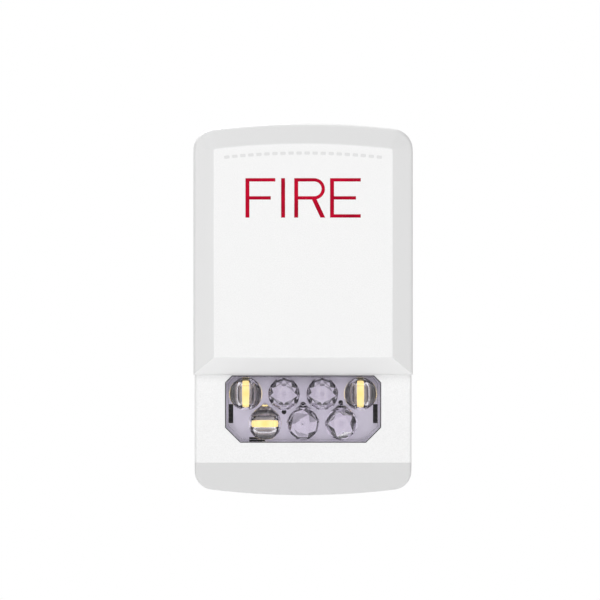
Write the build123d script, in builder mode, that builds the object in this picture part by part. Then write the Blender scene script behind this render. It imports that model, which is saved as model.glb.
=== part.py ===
"""Wall-mounted fire alarm horn strobe: a white moulded head that hooks onto a wall plate.

Frame: the wall is the plane Y = 0, the head faces -Y, +X is to the viewer's right and +Z is up.
The origin is on the wall, at the middle of the wall plate's screw pattern.
Sketches are drawn on Plane.XZ.offset(d), whose normal is -Y, so every depth d below is the
distance from the wall towards the viewer, in millimetres, and extrude() goes towards the viewer.
"""

import os
from math import acos, cos, degrees, pi, sin, sqrt

from build123d import *

# ---------------------------------------------------------------- driving dimensions
HEIGHT = 132.6  # over the curved top and bottom edges
BLOCK_HALF_WIDTH = 39.0  # raised upper block
BASE_HALF_WIDTH = 38.6  # lower part, a shade narrower than the block
CROWN_RADIUS = 265.0  # the curve of the top and bottom edges
TOP_CORNER = 7.6
BOTTOM_CORNER = 6.6
REAR_GAP = 0.4  # the head's rim stands this far off the wall
LOWER_FACE = 23.0  # depth of the lower face, around the lens
BEVEL_START = 26.5  # depth where the block's side walls turn into the bevel
PANEL = 33.0  # depth of the flat front panel
BEVEL_INSET = 7.3  # panel edge in from the block's outline, at the top and sides
BOTTOM_BEVEL_INSET = 6.2
PANEL_CORNER = 0.9
STEP_Z = -23.1  # underside of the raised block
LIP_Z = -54.4  # where the lower face turns back into the lip
LIP_BACK = 11.0  # depth of the lip's edge at the very bottom
WALL = 2.0
TOP_Z = HEIGHT / 2

# window and lens
WINDOW_HALF_WIDTH = 27.8
WINDOW_TOP = STEP_Z - 0.25
WINDOW_BOTTOM = -47.3
WINDOW_TOP_CHAMFER = 2.5
WINDOW_BOTTOM_CHAMFER = 5.4
LENS_PITCH = 13.6
UPPER_LENS_Z = -29.9
LOWER_LENS_Z = -40.5
LENS_RADIUS = 6.0
LENS_FLOOR = 18.8  # back face of the lens moulding
LENS_APEX = 28.6
LENS_RIM = 24.4
LENS_SEAT = LOWER_FACE - WALL - 0.2  # the cover's inner face, which the lens flange bears on

# boards and rear cover
REAR_FACE = 6.0
REAR_WALL = 2.0
MAIN_BOARD = 17.8
LED_BOARD = 12.0
BOARD = 1.6
FRAME_BACK = 16.4  # back face of the optic frame

# wall plate
PLATE = 2.5
PLATE_GAP = 0.8  # wall plate's edge to the head's inner walls
OPENING_HALF_WIDTH = 17.0
OPENING_Z = (-32.0, 9.5)
HOOK_X = (10.5, 19.5)
HOOK_SHELF_Z = 59.8
HOOK_TIP_Z = 62.6
CATCH_Z = 61.4  # the head's catches hang down to here, behind the hooks' tips
CATCH_DEPTH = (2.8, 4.4)
GANG_PITCH = 83.3  # screw spacing of a single-gang box
OCTAGON_PITCH = 88.9  # screw spacing of an octagon box
TWO_GANG_PITCH_X = 46.0
BOX_SCREW_HOLE = 2.1  # radius
SLOT_SPAN = (OCTAGON_PITCH - GANG_PITCH) / 2 + 2 * BOX_SCREW_HOLE

# lock screw, nut and fork at the bottom
LOCK_DEPTH = 5.8
LOCK_RADIUS = 1.5
FORK_LOW, FORK_HIGH = -59.2, -56.8
BOSS_TOP = -60.5
NUT_SIDE, NUT_THICK = 5.5, 2.4

# terminal block
POLE_X = (-15.0, -5.0, 5.0, 15.0)
BLOCK_LOW, BLOCK_HIGH = 14.5, 33.5
BLOCK_FRONT = 13.0
BLOCK_WIDTH = 42.0
BAY_FLOOR = 6.0
TERMINAL_Z = 19.0
CONTACT_Z = 27.0
POCKET_FLOOR = 15.0
POCKET_WALL = 1.6
POCKET_HALF_WIDTH = 23.5
POCKET_Z = (12.0, 36.0)

# sounder
SOUNDER_Z = 22.0
SOUNDER_RADIUS = 20.5
DISC_RADIUS = 17.5
DISC_DEPTH = 24.6
HORN_MOUTH_HALF = 17.0

SOUNDER_PIN_X = (-6.0, 6.0)
SLOT_COUNT = 9
SLOT_PITCH = 3.8
SLOT_LENGTH = 9.2
SLOT_HEIGHT = 1.6
SLOT_DEPTH = 19.4  # depth of the slots' middle

# lamps: lens sites with a lamp behind them, and the rest
LAMP_SITES = [
    (-1.5 * LENS_PITCH, UPPER_LENS_Z),
    (1.5 * LENS_PITCH, UPPER_LENS_Z),
    (-LENS_PITCH, LOWER_LENS_Z),
]
LAMP_UPRIGHT = (True, True, False)
BLANK_SITES = [
    (-0.5 * LENS_PITCH, UPPER_LENS_Z),
    (0.5 * LENS_PITCH, UPPER_LENS_Z),
    (0.0, LOWER_LENS_Z),
    (LENS_PITCH, LOWER_LENS_Z),
]
PEG = (0.0, -33.8)

# lettering
LETTER_DEPTH = 0.5
LETTER_INK = 0.2

# fasteners and posts
COVER_SCREWS = [(-31.0, 50.0), (31.0, 50.0), (-31.0, -51.0), (31.0, -51.0)]
MAIN_SCREWS = [(-19.5, 48.5), (19.5, 48.5), (-19.5, -6.0), (19.5, -6.0)]
LED_SCREWS = [(-26.5, -18.0), (26.5, -18.0), (-26.5, -46.5), (26.5, -46.5)]
FRAME_SCREWS = [(-33.2, -35.0), (33.2, -35.0)]

# setting switches on the back of the lamp board
CANDELA_X, CANDELA_Z = -9.0, -33.0
CANDELA_TRAVEL = 12.0
CANDELA_STEPS = 7
DIP_X, DIP_Z = 13.0, -33.0
DIP_PITCH = 2.54
DIP_TRAVEL = 1.8
DIP_COUNT = 3

# rounded edges of the head
SHOULDER_RADIUS = 3.0
PANEL_RADIUS = 0.8
LIP_EDGE_RADIUS = 0.4
LOWER_RADIUS = 1.1

os.makedirs("parts", exist_ok=True)


def save(builder, name):
    """Labels a finished piece and writes it as the node of that name."""
    builder.part.label = name
    export_step(builder.part, f"parts/{name}.step")


def front_plane(depth):
    """The plane parallel to the wall at a depth, with local x = X, local y = Z, normal = -Y."""
    return Plane.XZ.offset(depth)


def crown_drop(half_width):
    """How far the curved edge has dropped at a distance from the middle."""
    return CROWN_RADIUS - sqrt(CROWN_RADIUS**2 - half_width**2)


# ---------------------------------------------------------------- outlines
def full_outline(depth, half_width, inset, top_radius, bottom_radius):
    """The head's whole front outline, shrunk by inset: curved top and bottom, rounded corners."""
    half = half_width - inset
    crown = TOP_Z - inset
    corner = crown - crown_drop(half)
    with BuildSketch(front_plane(depth)) as sketch:
        with BuildLine():
            ThreePointArc((-half, corner), (0, crown), (half, corner))
            Line((half, corner), (half, -corner))
            ThreePointArc((half, -corner), (0, -crown), (-half, -corner))
            Line((-half, -corner), (-half, corner))
        make_face()
        fillet(sketch.vertices().group_by(Axis.Y)[-1], top_radius - inset)
        fillet(sketch.vertices().group_by(Axis.Y)[0], bottom_radius - inset)
    return sketch


def block_outline(depth, inset, low, corner_radius):
    """The raised block's outline: curved top with rounded corners, straight underside at low."""
    half = BLOCK_HALF_WIDTH - inset
    crown = TOP_Z - inset
    corner = crown - crown_drop(half)
    with BuildSketch(front_plane(depth)) as sketch:
        with BuildLine():
            ThreePointArc((-half, corner), (0, crown), (half, corner))
            Line((half, corner), (half, low))
            Line((half, low), (-half, low))
            Line((-half, low), (-half, corner))
        make_face()
        fillet(sketch.vertices().group_by(Axis.Y)[-1], corner_radius)
    return sketch


def window_outline(depth, grow):
    """The lens window: a rectangle with small top chamfers and large bottom ones, grown all round."""
    half = WINDOW_HALF_WIDTH + grow
    top, bottom = WINDOW_TOP + grow, WINDOW_BOTTOM - grow
    # a chamfer grown outwards by a constant distance gets longer by this share of it
    longer = grow * (2 - sqrt(2))
    small, large = WINDOW_TOP_CHAMFER + longer, WINDOW_BOTTOM_CHAMFER + longer
    with BuildSketch(front_plane(depth)) as sketch:
        with BuildLine():
            Polyline(
                (-half + small, top),
                (half - small, top),
                (half, top - small),
                (half, bottom + large),
                (half - large, bottom),
                (-half + large, bottom),
                (-half, bottom + large),
                (-half, top - small),
                close=True,
            )
        make_face()
    return sketch


# ---------------------------------------------------------------- head shell
def head_form(inset):
    """The head's closed form, shrunk by inset: lower body with its lip, and the bevelled block."""
    back = REAR_GAP if inset == 0 else -1.0
    face = LOWER_FACE - (LOWER_FACE - LENS_SEAT if inset else 0)
    start = BEVEL_START - (0.4 * inset)
    panel = PANEL - inset
    low = STEP_Z + inset
    lip_dir = (LOWER_FACE - LIP_BACK, TOP_Z + LIP_Z)
    length = sqrt(lip_dir[0] ** 2 + lip_dir[1] ** 2)
    # unit normal of the lip plane, pointing out of the head, as (depth, z)
    normal = (lip_dir[1] / length, -lip_dir[0] / length)
    upper = (LOWER_FACE - normal[0] * inset, LIP_Z - normal[1] * inset)
    with BuildPart() as form:
        outline = full_outline(back, BASE_HALF_WIDTH, inset, TOP_CORNER, BOTTOM_CORNER)
        extrude(outline.sketch, amount=face - back)
        raised = block_outline(back, inset, low, TOP_CORNER - inset)
        extrude(raised.sketch, amount=start - back)
        shoulder = block_outline(start, inset, low, TOP_CORNER - inset)
        rim = block_outline(
            panel,
            BEVEL_INSET + 0.35 * inset,
            STEP_Z + BOTTOM_BEVEL_INSET + 0.35 * inset,
            PANEL_CORNER,
        )
        loft([shoulder.sketch, rim.sketch], ruled=True)
        # the lip: everything in front of a plane that runs back and down from the lower face
        with BuildSketch(Plane.YZ) as wedge:
            along = (lip_dir[0] / length, lip_dir[1] / length)
            start_d, start_z = upper[0] + along[0] * 6, upper[1] + along[1] * 6
            end_d, end_z = upper[0] - along[0] * 30, upper[1] - along[1] * 30
            with BuildLine():
                Polyline(
                    (-start_d, start_z),
                    (-end_d, end_z),
                    (-60, end_z),
                    (-60, start_z),
                    close=True,
                )
            make_face()
        extrude(amount=60, both=True, mode=Mode.SUBTRACT)
    return form


def soften(form):
    """Rounds the head's outer edges: shoulder, panel rim, lower face, lip and the block's corners."""

    def at_depth(edge, depth):
        box = edge.bounding_box()
        return abs(box.min.Y + depth) < 0.02 and abs(box.max.Y + depth) < 0.02

    def is_side_of_lower_face(edge):
        middle = edge.center()
        starts_at_face = abs(edge.bounding_box().min.Y + LOWER_FACE) < 0.02
        return starts_at_face and abs(middle.X) > 30 and middle.Z < STEP_Z - 1 and middle.Y < -14

    def is_lip_rim(edge):
        middle = edge.center()
        box = edge.bounding_box()
        runs_back = box.size.X < 0.01 and box.size.Z < 0.01
        behind_face = box.max.Y > -LOWER_FACE + 0.1
        return middle.Z < LIP_Z - 1 and middle.Y < -8 and behind_face and not runs_back

    def is_lip_edge(edge):
        middle = edge.center()
        return abs(middle.Z - LIP_Z) < 0.05 and abs(middle.Y + LOWER_FACE) < 0.05

    with form:
        fillet(form.edges().filter_by(lambda e: at_depth(e, BEVEL_START)), SHOULDER_RADIUS)
        fillet(form.edges().filter_by(lambda e: at_depth(e, PANEL)), PANEL_RADIUS)
        fillet(form.edges().filter_by(is_lip_edge), LIP_EDGE_RADIUS)
        rims = form.edges().filter_by(lambda e: is_side_of_lower_face(e) or is_lip_rim(e))
        fillet(rims, LOWER_RADIUS)


def block(x_range, z_range, depth_range, mode=Mode.ADD):
    """A box given by its ranges in X, Z and depth, added to the builder that is open."""
    lows = (x_range[0], z_range[0], depth_range[0])
    highs = (x_range[1], z_range[1], depth_range[1])
    x, z, depth = ((low + high) / 2 for low, high in zip(lows, highs))
    width, height, thickness = (high - low for low, high in zip(lows, highs))
    with Locations((x, -depth, z)):
        Box(width, thickness, height, mode=mode)


def post(x, z, depth_range, radius, mode=Mode.ADD):
    """A round post or hole along Y, between two depths."""
    low, high = depth_range
    with Locations((x, -(low + high) / 2, z)):
        Cylinder(radius, high - low, rotation=(90, 0, 0), mode=mode)


def pillar(x, depth, z_range, radius, mode=Mode.ADD):
    """A round post or hole along Z, between two heights."""
    low, high = z_range
    with Locations((x, -depth, (low + high) / 2)):
        Cylinder(radius, high - low, mode=mode)


# ---------------------------------------------------------------- front cover
def fire_letters(depth):
    """The word FIRE in plain single-weight capitals, centred over the panel."""
    cap, upright, level = 14.0, 1.42, 1.2
    width, baseline = 40.9, 32.7
    middle = (6.4, 7.6)
    with BuildSketch(front_plane(depth)) as letters:
        bars = [
            # F: stem, top bar, middle bar
            ((0, upright), (0, cap)),
            ((0, 10.6), (cap - level, cap)),
            ((0, 9.0), middle),
            # I
            ((12.65, 12.65 + upright), (0, cap)),
            # R: stem, and the two level strokes of its bowl
            ((17.3, 17.3 + upright), (0, cap)),
            ((17.3, 24.4), (cap - level, cap)),
            ((17.3, 24.4), middle),
            # E: stem and three bars
            ((30.0, 30.0 + upright), (0, cap)),
            ((30.0, width), (cap - level, cap)),
            ((30.0, 39.2), middle),
            ((30.0, width), (0, level)),
        ]
        for (left, right), (low, high) in bars:
            with Locations(((left + right - width) / 2, baseline + (low + high) / 2)):
                Rectangle(right - left, high - low)
        bowl_radius = (cap - middle[0]) / 2
        with BuildSketch(mode=Mode.PRIVATE) as bowl:
            Circle(bowl_radius)
            Circle(bowl_radius - level, mode=Mode.SUBTRACT)
            with Locations((-bowl_radius, 0)):
                Rectangle(2 * bowl_radius, 2 * bowl_radius, mode=Mode.SUBTRACT)
        add(bowl.sketch.moved(Location((24.4 - width / 2, baseline + cap - bowl_radius, 0))))
        with BuildLine():
            leg = [(23.5, 6.6), (25.2, 6.6), (28.3, 0), (26.6, 0)]
            Polyline(*[(x - width / 2, baseline + z) for x, z in leg], close=True)
        make_face()
    return letters


def dash_row(depth):
    """A row of small raised dashes that follows the curve of the panel's top edge."""
    count, pitch, row_z = 20, 2.85, 55.6
    centre_z = TOP_Z - CROWN_RADIUS
    radius = row_z - centre_z
    spread = degrees(pitch * (count - 1) / radius)
    with BuildSketch(front_plane(depth)) as dashes:
        with Locations((0, centre_z)):
            with PolarLocations(radius, count, 90 - spread / 2, spread, endpoint=True):
                RectangleRounded(1.1, 1.9, 0.3)
    return dashes


def make_front_cover():
    outer = head_form(0)
    soften(outer)
    cavity = head_form(WALL)
    with cavity:
        # what is taken out of the cavity stays solid in the cover: screw posts, bosses and catches
        for x, z in COVER_SCREWS:
            post(x, z, (REAR_FACE + REAR_WALL, PANEL), 3.2, Mode.SUBTRACT)
        for x, z in FRAME_SCREWS:
            post(x, z, (LENS_FLOOR, PANEL), 2.6, Mode.SUBTRACT)
        for side in (-1, 1):
            catch = sorted((side * HOOK_X[0], side * HOOK_X[1]))
            block(catch, (CATCH_Z, TOP_Z), CATCH_DEPTH, Mode.SUBTRACT)
        pillar(0, LOCK_DEPTH, (-TOP_Z - 1, BOSS_TOP), 4.0, Mode.SUBTRACT)
        block((-4.0, 4.0), (-TOP_Z, -50.5), (8.8, 10.4), Mode.SUBTRACT)
    with BuildPart() as cover:
        add(outer.part)
        add(cavity.part, mode=Mode.SUBTRACT)
        extrude(window_outline(LENS_SEAT - 1, 0).sketch, amount=6, mode=Mode.SUBTRACT)
        for x, z in COVER_SCREWS:
            post(x, z, (REAR_FACE + REAR_WALL, 18.0), 1.1, Mode.SUBTRACT)
        for x, z in FRAME_SCREWS:
            post(x, z, (LENS_FLOOR, 21.9), 0.85, Mode.SUBTRACT)
        # sound slots through both side walls
        with BuildSketch(Plane.YZ) as slots:
            with Locations((-SLOT_DEPTH, SOUNDER_Z)):
                with GridLocations(0, SLOT_PITCH, 1, SLOT_COUNT):
                    SlotOverall(SLOT_LENGTH, SLOT_HEIGHT)
        extrude(amount=BLOCK_HALF_WIDTH + 5, both=True, mode=Mode.SUBTRACT)
        # lock screw hole and counterbore, from underneath
        pillar(0, LOCK_DEPTH, (-TOP_Z - 1, -64.1), 3.0, Mode.SUBTRACT)
        pillar(0, LOCK_DEPTH, (-64.2, BOSS_TOP + 1), LOCK_RADIUS + 0.2, Mode.SUBTRACT)
        extrude(fire_letters(PANEL).sketch, amount=-LETTER_DEPTH, mode=Mode.SUBTRACT)
        extrude(dash_row(PANEL).sketch, amount=0.14)
    save(cover, "front_cover")


def make_lettering():
    with BuildPart() as ink:
        extrude(fire_letters(PANEL - LETTER_DEPTH).sketch, amount=LETTER_INK)
    save(ink, "fire_lettering")


# ---------------------------------------------------------------- rear cover
def make_rear_cover():
    front = REAR_FACE + REAR_WALL
    low, high = POCKET_Z
    with BuildPart() as cover:
        sheet = full_outline(
            REAR_FACE, BASE_HALF_WIDTH, WALL + 0.3, TOP_CORNER, BOTTOM_CORNER
        )
        extrude(sheet.sketch, amount=REAR_WALL)
        outer = POCKET_HALF_WIDTH + POCKET_WALL
        block(
            (-outer, outer),
            (low - POCKET_WALL, high + POCKET_WALL),
            (REAR_FACE, POCKET_FLOOR + POCKET_WALL),
        )
        for x, z in MAIN_SCREWS:
            post(x, z, (REAR_FACE, MAIN_BOARD), 2.6)
        for x, z in LED_SCREWS:
            post(x, z, (REAR_FACE, LED_BOARD), 2.4)
        # pocket for the terminal block, open to the rear
        inner = POCKET_HALF_WIDTH
        block((-inner, inner), (low, high), (REAR_FACE - 1, POCKET_FLOOR), Mode.SUBTRACT)
        for x in POLE_X:
            post(x, CONTACT_Z, (POCKET_FLOOR - 1, POCKET_FLOOR + 3), 0.85, Mode.SUBTRACT)
        for x, z in MAIN_SCREWS:
            post(x, z, (front + 0.5, MAIN_BOARD), 0.95, Mode.SUBTRACT)
        for x, z in LED_SCREWS:
            post(x, z, (front - 0.5, LED_BOARD), 0.95, Mode.SUBTRACT)
        for x, z in COVER_SCREWS:
            post(x, z, (REAR_FACE - 1, front + 1), 1.5, Mode.SUBTRACT)
        # notch for the lock, and one over each hook
        block((-9, 9), (-TOP_Z, -49.5), (REAR_FACE - 1, front + 1), Mode.SUBTRACT)
        for side in (-1, 1):
            notch = sorted((side * (HOOK_X[0] - 1), side * (HOOK_X[1] + 1)))
            block(notch, (56.5, TOP_Z), (REAR_FACE - 1, front + 1), Mode.SUBTRACT)
        # window for the setting switches, with one tick at each setting of the long one
        half_travel = CANDELA_TRAVEL / 2
        slot = (CANDELA_X - half_travel - 1.9, CANDELA_X + half_travel + 1.9)
        block(slot, (CANDELA_Z - 2, CANDELA_Z + 2), (REAR_FACE - 1, front + 1), Mode.SUBTRACT)
        dip = DIP_PITCH * DIP_COUNT / 2 + 0.4
        block(
            (DIP_X - dip, DIP_X + dip),
            (DIP_Z - 2.6, DIP_Z + 2.6),
            (REAR_FACE - 1, front + 1),
            Mode.SUBTRACT,
        )
        for i in range(CANDELA_STEPS):
            x = CANDELA_X - half_travel + i * CANDELA_TRAVEL / (CANDELA_STEPS - 1)
            ticks = (CANDELA_Z + 3.2, CANDELA_Z + 4.8)
            block((x - 0.2, x + 0.2), ticks, (REAR_FACE - 1, REAR_FACE + 0.3), Mode.SUBTRACT)
    save(cover, "rear_cover")


# ---------------------------------------------------------------- screws
def make_screws(name, places, head_depths, head_radius, shank_end, shank_radius, faces_front):
    """A group of cross-recessed pan-head screws along Y. shank_end is the depth of the tip."""
    low, high = head_depths
    with BuildPart() as screws:
        for x, z in places:
            post(x, z, head_depths, head_radius)
            post(x, z, sorted((shank_end, low if faces_front else high)), shank_radius)
            recess = (high - 0.9, high) if faces_front else (low, low + 0.9)
            arm = head_radius * 0.55
            block((x - arm, x + arm), (z - 0.3, z + 0.3), recess, Mode.SUBTRACT)
            block((x - 0.3, x + 0.3), (z - arm, z + arm), recess, Mode.SUBTRACT)
    save(screws, name)


# ---------------------------------------------------------------- boards and what is on them
def make_main_board():
    with BuildPart() as board:
        block((-24, 24), (-19, 56), (MAIN_BOARD, MAIN_BOARD + BOARD))
        for x, z in MAIN_SCREWS:
            post(x, z, (MAIN_BOARD, MAIN_BOARD + BOARD), 1.15, Mode.SUBTRACT)
        for x in POLE_X:
            post(x, CONTACT_Z, (MAIN_BOARD, MAIN_BOARD + BOARD), 0.85, Mode.SUBTRACT)
        for x in SOUNDER_PIN_X:
            post(x, SOUNDER_Z, (MAIN_BOARD, MAIN_BOARD + BOARD), 0.6, Mode.SUBTRACT)
    save(board, "main_board")


def make_lamp_board():
    with BuildPart() as board:
        block((-30, 30), (-50, -12.5), (LED_BOARD, LED_BOARD + BOARD))
        for x, z in LED_SCREWS:
            post(x, z, (LED_BOARD, LED_BOARD + BOARD), 1.15, Mode.SUBTRACT)
        for x, z in COVER_SCREWS:
            post(x, z, (LED_BOARD, LED_BOARD + BOARD), 3.9, Mode.SUBTRACT)
    save(board, "lamp_board")


def make_link():
    """The two halves of the connector that joins the boards."""
    split = LED_BOARD + BOARD + 2.3
    with BuildPart() as socket:
        block((-9, 9), (-18, -14), (LED_BOARD + BOARD, split))
    save(socket, "link_socket")
    with BuildPart() as plug:
        block((-8, 8), (-17.6, -14.4), (split, MAIN_BOARD))
    save(plug, "link_plug")


def make_contact_pins():
    with BuildPart() as pins:
        for x in POLE_X:
            post(x, CONTACT_Z, (POCKET_FLOOR - 0.5, POCKET_FLOOR), 2.2)
            post(x, CONTACT_Z, (POCKET_FLOOR, MAIN_BOARD + BOARD), 0.7)
    save(pins, "contact_pins")


def make_main_parts():
    front = MAIN_BOARD + BOARD
    with BuildPart() as cans:
        for x in (-8.0, 4.0):
            post(x, -9.5, (front, front + 10.6), 5.0)
            ring = front + 1.6
            post(x, -9.5, (ring, ring + 0.7), 5.0, Mode.SUBTRACT)
            post(x, -9.5, (ring, ring + 0.7), 4.6)
            for angle in (0, 90):
                with Locations(Location((x, -(front + 10.5), -9.5), (0, angle, 0))):
                    Box(6.5, 0.2, 0.3, mode=Mode.SUBTRACT)
    save(cans, "storage_capacitors")
    x, z = 15.2, -14.2
    with BuildPart() as core:
        post(x, z, (front, front + 5.2), 4.2)
        post(x, z, (front + 1.1, front + 4.1), 4.2, Mode.SUBTRACT)
        post(x, z, (front + 1.1, front + 4.1), 1.8)
    save(core, "inductor_core")
    with BuildPart() as winding:
        post(x, z, (front + 1.2, front + 4.0), 3.9)
        post(x, z, (front + 1.2, front + 4.0), 1.85, Mode.SUBTRACT)
    save(winding, "inductor_winding")
    with BuildPart() as chips:
        block((-11, -1), (46.5, 52.5), (front, front + 1.7))
        block((4, 10), (46.5, 52.5), (front, front + 1.2))
        block((-20, -15), (-16, -11), (front, front + 1.1))
    save(chips, "control_chips")


# ---------------------------------------------------------------- sounder
def make_sounder():
    front = MAIN_BOARD + BOARD
    with BuildPart() as base:
        post(0, SOUNDER_Z, (front, DISC_DEPTH), SOUNDER_RADIUS)
        post(0, SOUNDER_Z, (front + 1.6, DISC_DEPTH), DISC_RADIUS - 1.0, Mode.SUBTRACT)
        for x in SOUNDER_PIN_X:
            post(x, SOUNDER_Z, (front, front + 1.6), 0.55, Mode.SUBTRACT)
    save(base, "sounder_base")
    with BuildPart() as pins:
        for x in SOUNDER_PIN_X:
            post(x, SOUNDER_Z, (MAIN_BOARD - 0.8, DISC_DEPTH - 1.4), 0.4)
    save(pins, "sounder_pins")
    with BuildPart() as disc:
        post(0, SOUNDER_Z, (DISC_DEPTH, DISC_DEPTH + 0.25), DISC_RADIUS)
    save(disc, "piezo_plate")
    with BuildPart() as ceramic:
        post(0, SOUNDER_Z, (DISC_DEPTH - 0.25, DISC_DEPTH), DISC_RADIUS * 0.66)
    save(ceramic, "piezo_ceramic")


def horn_section(x, half_height, depths):
    """One rectangular cross-section of a horn duct, at a distance from the middle."""
    low, high = depths
    with BuildSketch(Plane.YZ.offset(x)) as section:
        with Locations((-(low + high) / 2, SOUNDER_Z)):
            Rectangle(high - low, 2 * half_height)
    return section


def make_horn():
    """The sounder's front cap with a flared duct to the slots in each side wall."""
    top = 30.3
    seat = DISC_DEPTH + 0.3
    throat_x, mouth_x = SOUNDER_RADIUS + 0.15, BLOCK_HALF_WIDTH - WALL - 0.2
    throat_half, wall = 8.0, 1.2
    throat_depths, mouth_depths = (DISC_DEPTH + 0.4, 29.0), (13.6, 25.2)
    with BuildPart() as horn:
        post(0, SOUNDER_Z, (DISC_DEPTH, top), SOUNDER_RADIUS)
        for side in (-1, 1):
            run = sorted((side * (throat_x - 4), side * throat_x))
            rise = (SOUNDER_Z - throat_half, SOUNDER_Z + throat_half)
            block(run, rise, throat_depths)
            near = horn_section(side * throat_x, throat_half, throat_depths)
            far = horn_section(side * mouth_x, HORN_MOUTH_HALF + wall, mouth_depths)
            loft([near.sketch, far.sketch], ruled=True)
        post(0, SOUNDER_Z, (seat, top - 1.7), DISC_RADIUS - 1.0, Mode.SUBTRACT)
        post(0, SOUNDER_Z, (DISC_DEPTH, seat), DISC_RADIUS + 0.1, Mode.SUBTRACT)
        for side in (-1, 1):
            inner_throat = (throat_depths[0] + wall * 0.6, throat_depths[1] - wall)
            inner_mouth = (mouth_depths[0] + wall, mouth_depths[1] - wall)
            run = sorted((side * 12, side * throat_x))
            rise = (SOUNDER_Z - throat_half + wall, SOUNDER_Z + throat_half - wall)
            block(run, rise, inner_throat, Mode.SUBTRACT)
            near = horn_section(side * throat_x, throat_half - wall, inner_throat)
            far = horn_section(side * mouth_x, HORN_MOUTH_HALF, inner_mouth)
            loft([near.sketch, far.sketch], ruled=True, mode=Mode.SUBTRACT)
    save(horn, "sounder_horn")


# ---------------------------------------------------------------- lamp optics
def make_optic_frame():
    """The pale moulded plate behind the lens, with a tube round each lamp."""
    back, front = FRAME_BACK, LENS_FLOOR
    with BuildPart() as frame:
        extrude(window_outline(back, 3.1).sketch, amount=front - back)
        for x, z in FRAME_SCREWS:
            block(sorted((x * 0.85, x)), (z - 2.8, z + 2.8), (back, front))
            post(x, z, (back, front), 2.8)
        for x, z in LAMP_SITES:
            post(x, z, (LED_BOARD + BOARD + 0.8, front), 5.5)
        for x, z in FRAME_SCREWS:
            post(x, z, (back, front), 1.0, Mode.SUBTRACT)
        for x, z in LAMP_SITES:
            post(x, z, (LED_BOARD + BOARD, front), 4.7, Mode.SUBTRACT)
        for x, z in BLANK_SITES:
            post(x, z, (front - 1.1, front), 4.4, Mode.SUBTRACT)
        for side in (-1, 1):
            slot = sorted((side * 24.9, side * 26.5))
            block(slot, (-40.4, -33.6), (back, front), Mode.SUBTRACT)
        block((-19.2, -13.6), (-47.2, -45.4), (back, front), Mode.SUBTRACT)
        post(-6.8, -36.4, (back, front), 0.85, Mode.SUBTRACT)
        post(13.4, -33.0, (back, front), 0.8, Mode.SUBTRACT)
        post(PEG[0], PEG[1], (back, front), 1.0, Mode.SUBTRACT)
    save(frame, "optic_frame")


def make_lens():
    """The clear moulding: a shallow tray with round domes above and teardrop domes below."""
    with BuildPart() as lens:
        extrude(window_outline(LENS_FLOOR, 1.5).sketch, amount=LENS_SEAT - LENS_FLOOR)
        extrude(window_outline(LENS_FLOOR, -0.1).sketch, amount=LENS_RIM - LENS_FLOOR)
        extrude(
            window_outline(LENS_FLOOR + 1.2, -1.3).sketch,
            amount=LENS_RIM,
            mode=Mode.SUBTRACT,
        )
        dome_depth = LENS_APEX - LENS_RADIUS
        for x in (-1.5, -0.5, 0.5, 1.5):
            centre = (x * LENS_PITCH, -dome_depth, UPPER_LENS_Z)
            with Locations(centre):
                Sphere(LENS_RADIUS)
            post(centre[0], UPPER_LENS_Z, (LENS_FLOOR + 0.6, dome_depth), LENS_RADIUS)
        for x in (-1, 0, 1):
            add(teardrop_dome(x * LENS_PITCH, dome_depth))
        # trim what the domes leave behind the floor and outside the tray
        with BuildSketch(front_plane(0)) as around:
            Rectangle(200, 200)
            add(window_outline(0, -0.1).sketch_local, mode=Mode.SUBTRACT)
        extrude(around.sketch.moved(Location((0, -LENS_SEAT, 0))), amount=20, mode=Mode.SUBTRACT)
        block((-50, 50), (-60, 0), (0, LENS_FLOOR), Mode.SUBTRACT)
        post(PEG[0], PEG[1], (FRAME_BACK + 0.5, LENS_FLOOR), 0.7)
    save(lens, "lens")


def teardrop_dome(x, depth):
    """A dome that is round below and drawn to a point above, standing on the lens floor."""
    radius, reach = LENS_RADIUS, 7.6
    # the straight flank leaves the tip at (0, reach) and touches the circle at this angle from +Y
    lean = acos(radius / reach)
    touch = (radius * sin(lean), radius * cos(lean))
    start = Plane(origin=(x, -depth, LOWER_LENS_Z), x_dir=(1, 0, 0), z_dir=(0, -1, 0))
    with BuildPart() as dome:
        with BuildSketch(start) as half:
            with BuildLine():
                Line((0, -radius), (0, reach))
                Line((0, reach), touch)
                mid = (radius * cos(pi / 4 - lean / 2), -radius * sin(pi / 4 - lean / 2))
                ThreePointArc(touch, mid, (0, -radius))
            make_face()
        revolve(axis=Axis((x, -depth, LOWER_LENS_Z), (0, 0, 1)))
        with BuildSketch(start) as whole:
            add(half.sketch_local)
            mirror(about=Plane.YZ)
        extrude(amount=-(depth - LENS_FLOOR - 0.6))
    return dome.part


def make_lamps():
    """Three lamp strips on the lamp board, each a pale carrier with a row of yellow patches."""
    front = LED_BOARD + BOARD
    with BuildPart() as carriers:
        for (x, z), upright in zip(LAMP_SITES, LAMP_UPRIGHT):
            half_x, half_z = (1.7, 4.0) if upright else (4.0, 1.7)
            block((x - half_x, x + half_x), (z - half_z, z + half_z), (front, front + 0.7))
    save(carriers, "lamp_carriers")
    with BuildPart() as patches:
        for (x, z), upright in zip(LAMP_SITES, LAMP_UPRIGHT):
            for step in (-1, 0, 1):
                px, pz = (x, z + step * 2.5) if upright else (x + step * 2.5, z)
                spread = (front + 0.7, front + 1.0)
                block((px - 1.1, px + 1.1), (pz - 1.1, pz + 1.1), spread)
    save(patches, "lamp_phosphors")


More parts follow.
